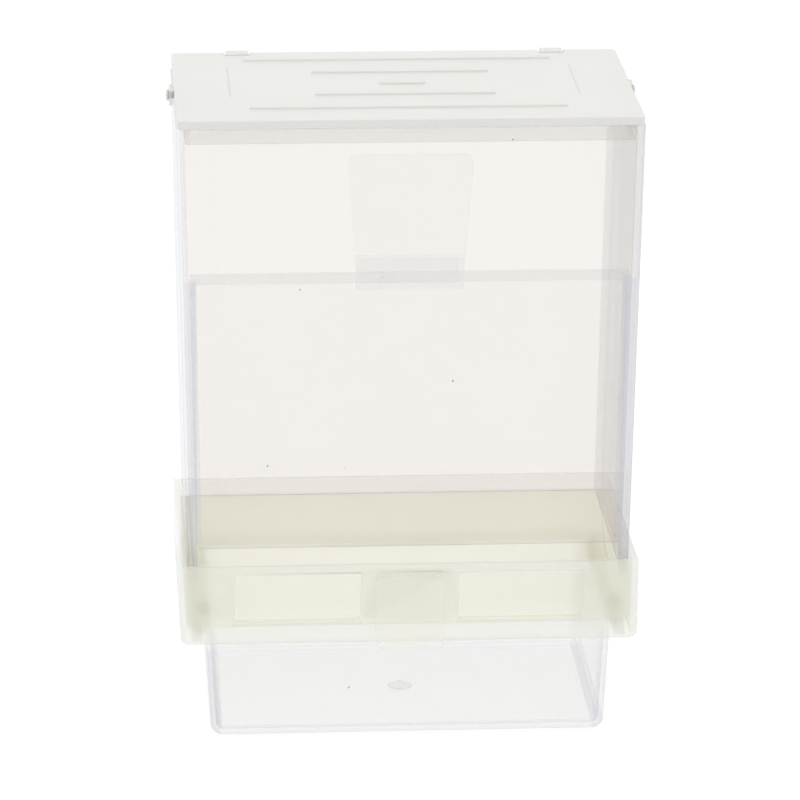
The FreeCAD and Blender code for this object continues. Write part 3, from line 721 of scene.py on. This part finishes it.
# ---------------------------------------------------------------- sub-assemblies
@dataclass
class Hopper:
    """The tapering clear hopper with its lugs, pins, ears, studs and gate rails."""

    body: str = "hopper"
    slot: str = "clear_hopper"
    base: float = 54.5
    top: float = 207.6
    front: float = -40.9
    half_base: float = 72.8
    half_top: float = 75.4
    back_base: float = 44.9
    back_top: float = 46.9
    walls: tuple[float, float, float] = (2.4, 2.0, 2.2)   # sides, front, back
    corner: float = 1.6
    hollow_corner: float = 0.6
    corner_steps: int = 6
    front_edge: float = 65.4
    back_edge: float = 206.0
    mouth: tuple[float, float] = (69.1, 69.5)   # half of the opening under the front, and its jamb
    rim: float = 0.45
    bar_height: float = 156.6
    painted_corner_start: float = 69.45      # the corners with painted reflection lie beyond this on both sides
    painted_corner_depth: float = 2.1
    stud_place: tuple[float, float] = (11.0, 205.8)
    stud_radii: tuple[float, float] = (1.1, 1.9)            # shank, head
    stud_chamfers: tuple[float, float] = (0.3, 0.15)        # shank, head
    stud_run: tuple[float, float, float] = (73.0, 76.6, 76.9)   # shank's end, ear, dome's foot
    stud_dome: float = 0.65
    pin_place: tuple[float, float] = (47.2, 209.15)
    pin_run: tuple[float, float] = (46.9, 58.9)
    pin_radius: float = 0.9

    def outline(self, height: float, inside: bool, inset: float = 0.0) -> np.ndarray:
        """The shell's outline at a height, with two added points at each front corner.

        Args:
            height: height of the section.
            inside: the hollow's outline instead of the outer one.
            inset: distance moved in from that outline; negative for the hollow's rim.

        Returns:
            The outline's points.
        """
        t = (height - self.base) / (self.top - self.base)
        side, front, back = self.walls if inside else (0.0, 0.0, 0.0)
        half = self.half_base + (self.half_top - self.half_base) * t - side
        rear = self.back_base + (self.back_top - self.back_base) * t - back
        corners = rectangle((-half, half), (self.front + front, rear))
        radii = np.full(4, self.hollow_corner if inside else self.corner)
        loop = rounded_outline(corners, radii, inset, self.corner_steps)
        opening, jamb = self.mouth
        marks = np.full((4, 2), loop[self.corner_steps, 1])
        marks[:, 0] = -jamb, -opening, opening, jamb
        return np.insert(loop, self.corner_steps + 1, marks, axis=0)

    def shell(self) -> Body:
        """The shell: up the outside, over the rim, down the inside and round the foot.

        The foot's height is the hopper's base, except between the marks on the front
        side, where it is the edge that the feed runs out under. The rim's height
        drops along the back in the same way.
        """
        inset, rise = rounding(self.rim)
        levels = np.concatenate([np.linspace(self.front_edge + 1.2, self.bar_height, 6),
                                 np.linspace(self.bar_height, self.back_edge - 1.5, 4)[1:]])

        def foot(loop: np.ndarray) -> np.ndarray:
            """The height of the foot at each point of an outline."""
            under = (np.abs(loop[:, 0]) < sum(self.mouth) / 2) & (loop[:, 1] < self.front + 5)
            return np.where(under, self.front_edge, self.base)

        def crest(loop: np.ndarray) -> np.ndarray:
            """The height of the rim at each point of an outline."""
            return np.where(loop[:, 1] > self.back_base - 1.0, self.back_edge, self.top)

        def face(inside: bool) -> list[np.ndarray]:
            """The rings up one face of the wall, from its foot to its rim."""
            insets = -inset if inside else inset
            loops = [self.outline(self.base, inside, i) for i in insets]
            rings = [ring(loop, foot(loop) + r) for loop, r in zip(loops, rise)]
            rings += [ring(self.outline(height, inside), height) for height in levels]
            loops = [self.outline(self.top, inside, i) for i in insets[::-1]]
            return rings + [ring(loop, crest(loop) - r) for loop, r in zip(loops, rise[::-1])]

        return Body.lofted(face(False) + face(True)[::-1], closed=True)

    def stud(self, side: Side) -> Body:
        """A stud: a shank through the wall, and a head outside the ear.

        The head's dome has the radius head * sqrt(1 - 0.86 t^2) at t times its height.
        """
        t = np.linspace(0.0, 1.0, 7)
        shank, head = self.stud_radii
        tip, lip = self.stud_chamfers
        end, ear, foot = self.stud_run
        radii = np.concatenate([[shank - tip, shank, shank, head - lip, head],
                                head * np.sqrt(1 - 0.86 * t ** 2)])
        along = np.concatenate([[end, end + tip, ear, ear, ear + lip], foot + self.stud_dome * t])
        return turned_rod(radii, side.value * along, self.stud_place, axis=0)

    def pin(self, side: Side) -> Body:
        """A hinge pin with rounded ends."""
        inset, rise = rounding(0.25)
        inner, outer = self.pin_run
        radii = self.pin_radius - np.concatenate([inset, inset[::-1]])
        along = np.concatenate([inner + rise, outer - rise[::-1]])
        return turned_rod(radii, side.value * along, self.pin_place, axis=0, around=28)

    def corners(self, faces: Faces) -> np.ndarray:
        """The thick front corners beside the gate, below its bar, which take painted reflection."""
        across, depth, height = faces.centres.T
        ahead = depth < self.front + self.painted_corner_depth
        return (np.abs(across) > self.painted_corner_start) & ahead & (height < self.bar_height)

    def build(self) -> None:
        """Make and dress every piece of the hopper."""
        shell = stand_in_for(new_object("hopper_wall_shell", [self.shell()]), "hopper_shell",
                             self.body, HOPPER_WALL)
        patch(shell, HOPPER_CORNER_PAINTED_REFLECTION, self.corners)
        patch(shell, HOPPER_EDGE_PAINTED_REFLECTION, rounded_faces)
        for side in Side:
            stand_in_for(new_object(f"domed_stud_{side.word}", [self.stud(side)]),
                         f"side_stud_{side.word}", self.body, STUD_PAINTED_SHADE)
            stand_in_for(new_object(f"hinge_pin_{side.word}", [self.pin(side)]),
                         f"lid_hinge_pin_{side.word}", self.body, PIN_PLASTIC)
            for stem, edge, finish in (("hinge_lug", 0.3, LUG_PLASTIC),
                                       ("side_ear", 0.25, LUG_PLASTIC),
                                       ("gate_rail", 0.25, CLEAR_RAIL)):
                node = f"{stem}_{side.word}"
                stand_in_for(moulded_copy(f"moulded_{node}", node, edge, 0.05), node,
                             self.body, finish)


@dataclass
class Lid:
    """The frosted lid: plate, raised ribs, centre pad, skirt and ribs underneath."""

    body: str = "lid"
    slot: str = "frosted_lid"
    half: float = 75.0
    front: float = -41.5
    back: float = 48.7
    top: float = 210.6
    thickness: float = 2.9
    corner: float = 1.6
    notch: tuple[float, float, float] = (48.7, 57.1, 44.4)
    rib_width: float = 1.6
    rib_height: float = 0.8
    rib_middle: float = 45.8        # behind the front edge
    ribs: tuple[tuple[float, float], ...] = ((102.8, 31.7), (58.6, 14.65))  # length, offset
    pad: tuple[float, float] = (15.0, 3.4)
    skirt_half: float = 72.5
    skirt_run: tuple[float, float] = (-38.4, 44.2)
    skirt_wall: float = 1.6
    skirt_base: float = 201.9
    keel_place: float = 57.0        # the two ribs underneath
    keel_run: tuple[float, float] = (-10.7, 27.3)
    keel_heights: tuple[float, float] = (205.5, 208.0)
    shade_strip_height: float = 0.04       # of the painted-shade strips over them

    def plate(self) -> Body:
        """The plate: a rectangle with two notches in its back edge."""
        inner, outer, deep = self.notch
        corners = np.array([
            (-self.half, self.front), (self.half, self.front), (self.half, self.back),
            (outer, self.back), (outer, deep), (inner, deep), (inner, self.back),
            (-inner, self.back), (-inner, deep), (-outer, deep), (-outer, self.back),
            (-self.half, self.back)])
        radii = np.where(np.abs(corners[:, 0]) == self.half, self.corner, 0.5)
        return slab(corners, radii, self.top - self.thickness, self.top, edge=0.45)

    def rib(self, length: float, middle: float, width: float) -> Body:
        """A raised bar with round ends across the lid."""
        half, radius = length / 2, width / 2
        return raised_rib(rectangle((-half, half), (middle - radius, middle + radius)),
                          radius - 0.02, self.top, self.rib_height)

    def skirt(self) -> Body:
        """The locating skirt: a thin upright wall all round under the plate."""
        corners = rectangle((-self.skirt_half, self.skirt_half), self.skirt_run)
        inset, rise = rounding(0.4)
        radii = np.full(4, 0.8)
        low, high = self.skirt_base, self.top - self.thickness + 0.3
        outside = [ring(rounded_outline(corners, radii, i), low + r)
                   for i, r in zip(inset, rise)]
        outside.append(ring(rounded_outline(corners, radii), high))
        inside = [ring(rounded_outline(corners, radii, self.skirt_wall), high)]
        inside += [ring(rounded_outline(corners, radii, self.skirt_wall - i), low + r)
                   for i, r in zip(inset[::-1], rise[::-1])]
        return Body.lofted(outside + inside, closed=True)

    def keel(self, side: Side, half: float, radius: float, low: float, high: float,
             edge: float) -> Body:
        """A straight strip along one rib underneath: the rib itself, or the strip of painted shade
        over it on top.

        Args:
            side: which of the two.
            half: half of the strip's width.
            radius: radius of its upright corners.
            low: height of its bottom.
            high: height of its top.
            edge: radius of its long edges.

        Returns:
            The strip.
        """
        middle = side.value * self.keel_place
        return slab(rectangle((middle - half, middle + half), self.keel_run), radius, low, high,
                    edge=edge)

    def build(self) -> None:
        """Make and dress the lid as one piece."""
        middle = self.front + self.rib_middle
        bodies = [self.plate(), self.skirt()]
        for length, offset in self.ribs:
            bodies += [self.rib(length, middle + side.value * offset, self.rib_width)
                       for side in Side]
        bodies.append(self.rib(self.pad[0], middle, self.pad[1]))
        # The first pair are the ribs underneath; the second pair are thin strips on the top over
        # them, dressed in painted shade.
        for half, radius, low, high, edge in (
                (0.5, 0.3, *self.keel_heights, 0.25),
                (0.3, 0.2, self.top - 0.1, self.top + self.shade_strip_height, 0.03)):
            bodies += [self.keel(side, half, radius, low, high, edge) for side in Side]
        lid = stand_in_for(new_object("ribbed_lid", bodies), "lid", self.body,
                           FROSTED_LID)
        patch(lid, LID_EDGE_PAINTED_SHADE, self.edges)
        patch(lid, LID_SKIRT, self.skirt_faces)

    def edges(self, faces: Faces) -> np.ndarray:
        """The faces that take painted shade: the plate's upright edges and the strips over the ribs
        underneath.
        """
        across, _, height = faces.centres.T
        upright = (np.abs(faces.normals[:, 2]) < 0.5) & (height > self.top - self.thickness)
        sunk = np.abs(np.abs(across) - self.keel_place) < 0.4
        level = (height > self.top - 0.2) & (height < self.top + 0.1)
        return (upright & (height < self.top)) | (sunk & level)

    def skirt_faces(self, faces: Faces) -> np.ndarray:
        """The faces of the skirt and of the ribs between its walls."""
        return faces.centres[:, 2] < self.top - self.thickness - 0.6


@dataclass
class Gate:
    """The sliding gate with its raised border, pull strap and finger grip."""

    body: str = "gate"
    slot: str = "clear_gate"
    front: float = -38.6
    plate: float = 1.2
    border: float = 2.4
    base: float = 66.0
    top: float = 158.4
    half_base: float = 69.9
    half_top: float = 71.3
    bar: float = 3.6
    rim: float = 2.0
    strap_top: float = 198.0
    strap: tuple[float, float] = (17.5, 20.4)
    grip: tuple[float, float] = (152.4, 162.6)
    grip_back: float = -31.6
    grip_wall: float = 1.4

    def sheet(self) -> Body:
        """The thin plate with its tapering strap, one outline with hollow corners between."""
        low, high = self.strap
        corners = np.array([(-self.half_base, self.base), (self.half_base, self.base),
                            (self.half_top, self.top), (low, self.top),
                            (high, self.strap_top), (-high, self.strap_top),
                            (-low, self.top), (-self.half_top, self.top)])
        radii = np.array([0.4, 0.4, 0.4, 1.2, 3.0, 3.0, 1.2, 0.4])
        return slab(corners, radii, self.front, self.front + self.plate, Plane.FRONT, 0.2)

    def raised_border(self) -> Body:
        """The raised border: an upside-down U behind the plate."""
        lean = (self.half_top - self.half_base) / (self.top - self.base)
        under = self.half_top - self.bar * lean - self.rim
        foot = self.half_base - self.rim
        corners = np.array([(-self.half_base, self.base), (-foot, self.base),
                            (-under, self.top - self.bar), (under, self.top - self.bar),
                            (foot, self.base), (self.half_base, self.base),
                            (self.half_top, self.top), (-self.half_top, self.top)])
        radii = np.array([0.4, 0.3, 0.8, 0.8, 0.3, 0.4, 0.4, 0.4])
        return slab(corners, radii, self.front + self.plate + 0.04, self.front + self.border,
                    Plane.FRONT, 0.25)

    def cup(self) -> Body:
        """The finger cup: up its outside, over the rim, and down its hollow."""
        low, high = self.grip
        half, wall = self.strap[0], self.grip_wall
        corners = rectangle((-half, half), (self.front + self.border + 0.05, self.grip_back))
        radii = np.full(4, 0.8)
        foot, foot_rise = rounding(0.5)
        lip, lip_rise = rounding(0.3)

        def level(height: float, inset: float) -> np.ndarray:
            """The cup's outline, moved in, at a height."""
            return ring(rounded_outline(corners, radii, inset, 5), height)

        rings = [level(low + r, i) for i, r in zip(foot, foot_rise)]
        rings += [level(high - r, i) for i, r in zip(lip[::-1], lip_rise[::-1])]
        rings += [level(high - r, wall - i) for i, r in zip(lip, lip_rise)]
        rings += [level(low + wall + r, wall + i) for i, r in zip(foot[::-1], foot_rise[::-1])]
        return Body.lofted(rings)

    def face(self, low: float, high: float) -> Body:
        """The grip's front face between the gate's plate and the cup, from low to high."""
        half = self.strap[0]
        return slab(rectangle((-half, half), (low, high)), 0.4,
                    self.front + self.plate + 0.05, self.front + self.border + 0.4,
                    Plane.FRONT, 0.2)

    def build(self) -> None:
        """Make and dress the gate, with painted reflection on its thick border, and the grip."""
        sheet = self.sheet()
        gate = stand_in_for(new_object("strapped_gate", [sheet, self.raised_border()]),
                            "feed_gate", self.body, CLEAR_GATE)
        patch(gate, GATE_BORDER_PAINTED_REFLECTION,
              lambda faces: np.arange(len(faces.centres)) >= len(sheet.faces))
        below = self.face(self.grip[0], self.top - self.bar - 0.05)
        above = self.face(self.top + 0.05, self.grip[1])
        stand_in_for(new_object("finger_cup", [self.cup(), below, above]), "gate_grip",
                     self.body, CLOUDY_GRIP)


@dataclass
class Tray:
    """The frosted housing, the tinted trough in it, its pegs and the drawer's runners."""

    body: str = "tray"
    housing_back: float = 45.0      # the back wall lies behind this
    trough_front: float = -43.5     # the trough's front wall lies before this
    peg_place: tuple[float, float] = (67.9, 46.6)
    peg_run: tuple[float, float] = (-46.85, -45.3)
    peg_radius: float = 2.2

    def peg(self, side: Side) -> Body:
        """A peg with a rounded tip between the trough and the housing."""
        inset, rise = rounding(0.5)
        across, height = self.peg_place
        radii = np.append(self.peg_radius - inset, self.peg_radius)
        along = np.append(self.peg_run[0] + rise, self.peg_run[1])
        return turned_rod(radii, along, (side.value * across, height), axis=1)

    def build(self) -> None:
        """Make and dress every piece of the tray."""
        housing = stand_in_for(moulded_copy("frosted_housing", "tray_housing", 0.4),
                               "tray_housing", self.body, FROSTED_TRAY)
        patch(housing, TRAY_BACK, lambda faces: faces.centres[:, 1] > self.housing_back)
        trough = stand_in_for(moulded_copy("tinted_trough", "trough_insert", 0.3),
                              "trough_insert", self.body, TINTED_TROUGH)
        patch(trough, TROUGH_FRONT, lambda faces: faces.centres[:, 1] < self.trough_front)
        for side in Side:
            stand_in_for(new_object(f"trough_peg_{side.word}", [self.peg(side)]),
                         f"trough_stud_{side.word}", self.body,
                         PEG_PAINTED_SHADE)
            node = f"drawer_runner_{side.word}"
            stand_in_for(moulded_copy(f"moulded_{node}", node, 0.25, 0.05), node, self.body,
                         FROSTED_TRAY)
        stand_in_for(moulded_copy("springy_tongue", "front_latch", 0.35), "front_latch",
                     "latch", TONGUE_PLASTIC)


@dataclass
class Drawer:
    """The milky catch drawer with round bottom edges, flanges and a pull."""

    body: str = "drawer"
    slot: str = "clear_drawer"
    front: float = -45.3
    back: float = 39.0
    mark_radius: float = 4.0
    mark_floor: float = 1.4
    mark_slack: float = 0.3

    def mark(self, faces: Faces) -> np.ndarray:
        """The faces of the round mould mark that is sunk in the drawer's floor."""
        middle = np.array([0.0, (self.front + self.back) / 2])
        away = np.linalg.norm(faces.centres[:, :2] - middle, axis=1)
        off_floor = np.abs(faces.centres[:, 2] - self.mark_floor)
        return (away < self.mark_radius + self.mark_slack) & (off_floor < self.mark_slack)

    def build(self) -> None:
        """Make and dress the drawer."""
        drawer = stand_in_for(moulded_copy("clear_catch_drawer", "catch_drawer", 0.25),
                              "catch_drawer", self.body, DRAWER_WALL)
        patch(drawer, MOULD_MARK, self.mark)
        patch(drawer, DRAWER_EDGE_PAINTED_REFLECTION, rounded_faces)
        # The bevel's new faces take the painted reflection as well.
        drawer.modifiers["moulded edges"].material = len(drawer.data.materials) - 1


# ---------------------------------------------------------------- studio
@dataclass(frozen=True)
class Viewpoint:
    """Where the camera stands and how it is turned, in millimetres and degrees."""

    place: tuple[float, float, float] = (-104.54, -1507.21, 596.93)
    yaw: float = 3.952
    pitch: float = 18.117
    roll: float = 0.398
    lens: float = 213.81
    sensor: float = 36.0

    def build(self) -> None:
        """Create the camera and make it the scene's."""
        yaw, pitch, roll = (math.radians(v) for v in (self.yaw, self.pitch, self.roll))
        ahead = Vector((math.sin(yaw) * math.cos(pitch), math.cos(yaw) * math.cos(pitch),
                        -math.sin(pitch)))
        level = Vector((math.cos(yaw), -math.sin(yaw), 0.0))
        upright = level.cross(ahead)
        right = math.cos(roll) * level + math.sin(roll) * upright
        up = math.cos(roll) * upright - math.sin(roll) * level
        turn = Matrix((right, up, -ahead)).transposed().to_4x4()
        data = bpy.data.cameras.new("camera")
        data.lens = self.lens
        data.sensor_width = self.sensor
        data.clip_start, data.clip_end = 0.05, 50.0
        camera = placed("camera", data)
        camera.matrix_world = Matrix.Translation(Vector(self.place) * MM) @ turn
        bpy.context.scene.camera = camera


@dataclass(frozen=True)
class Studio:
    """A pale floor under a soft white dome with a broad lamp overhead."""

    horizon: float = 0.93
    zenith: float = 1.0
    floor_colour: Colour = (0.25, 0.25, 0.25)
    floor_glow: float = 0.79
    reach: float = 6.0              # metres, as are the lamp's sizes
    lamp_size: float = 1.6
    lamp_place: tuple[float, float, float] = (-0.25, 0.2, 1.5)
    lamp_tilt: float = -8.0
    lamp_power: float = 2.0
    clear_faces: int = 32

    def dome(self) -> None:
        """A white sky that brightens from the horizon to overhead."""
        world = bpy.data.worlds.new("soft dome")
        world.use_nodes = True
        net = Wiring(world.node_tree)
        sky = world.node_tree.nodes["Background"].inputs
        direction = net.add("TexCoord", {}).outputs["Generated"]
        height = net.add("SeparateXYZ", {"Vector": direction}).outputs["Z"]
        net.feed(sky["Strength"], net.ramp(height, self.horizon, self.zenith))
        net.feed(sky["Color"], WHITE)
        bpy.context.scene.world = world

    def floor(self) -> None:
        """A wide flat floor with a faint unevenness in its white."""
        corners = ring(rectangle((-self.reach, self.reach), (-self.reach, self.reach)), 0.0)
        mesh = bpy.data.meshes.new("studio_floor")
        mesh.from_pydata(corners, [], [(0, 1, 2, 3)])
        floor = placed("studio_floor", mesh)
        material = bpy.data.materials.new("pale floor")
        material.use_nodes = True
        net = Wiring(material.node_tree)
        shader = material.node_tree.nodes["Principled BSDF"].inputs
        noise = net.add("TexNoise", {"Scale": 1.5}).outputs["Fac"]
        dimmer = tuple(channel * 0.995 for channel in self.floor_colour)
        net.feed(shader["Base Color"], net.mix(noise, (*self.floor_colour, 1.0), (*dimmer, 1.0)))
        net.feed(shader["Roughness"], 0.9)
        net.feed(shader["Specular IOR Level"], 0.0)
        net.feed(shader["Emission Color"], WHITE)
        net.feed(shader["Emission Strength"], self.floor_glow)
        mesh.materials.append(material)

    def lamp(self) -> None:
        """One broad soft lamp above and a little behind the feeder."""
        light = bpy.data.lights.new("overhead", "AREA")
        light.shape = "DISK"
        light.size = self.lamp_size
        light.energy = self.lamp_power
        lamp = placed("overhead", light)
        lamp.matrix_world = Matrix.Translation(self.lamp_place) @ Matrix.Rotation(
            math.radians(self.lamp_tilt), 4, "X")

    def build(self) -> None:
        """Set up the dome, the floor, the lamp and a plain display of the colours.

        Light crosses up to a dozen clear wall faces on its way through the feeder, so
        the count of clear faces that a ray may pass is raised to suit.
        """
        self.dome()
        self.floor()
        self.lamp()
        bpy.context.scene.cycles.transparent_max_bounces = self.clear_faces
        bpy.context.scene.view_settings.view_transform = "Standard"


def main() -> None:
    """Build every piece, the studio and the camera."""
    logging.basicConfig(level=logging.INFO, format="%(message)s")
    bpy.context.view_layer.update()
    for assembly in (Hopper(), Lid(), Gate(), Tray(), Drawer()):
        assembly.build()
    Studio().build()
    Viewpoint().build()


if __name__ == "__main__":
    main()
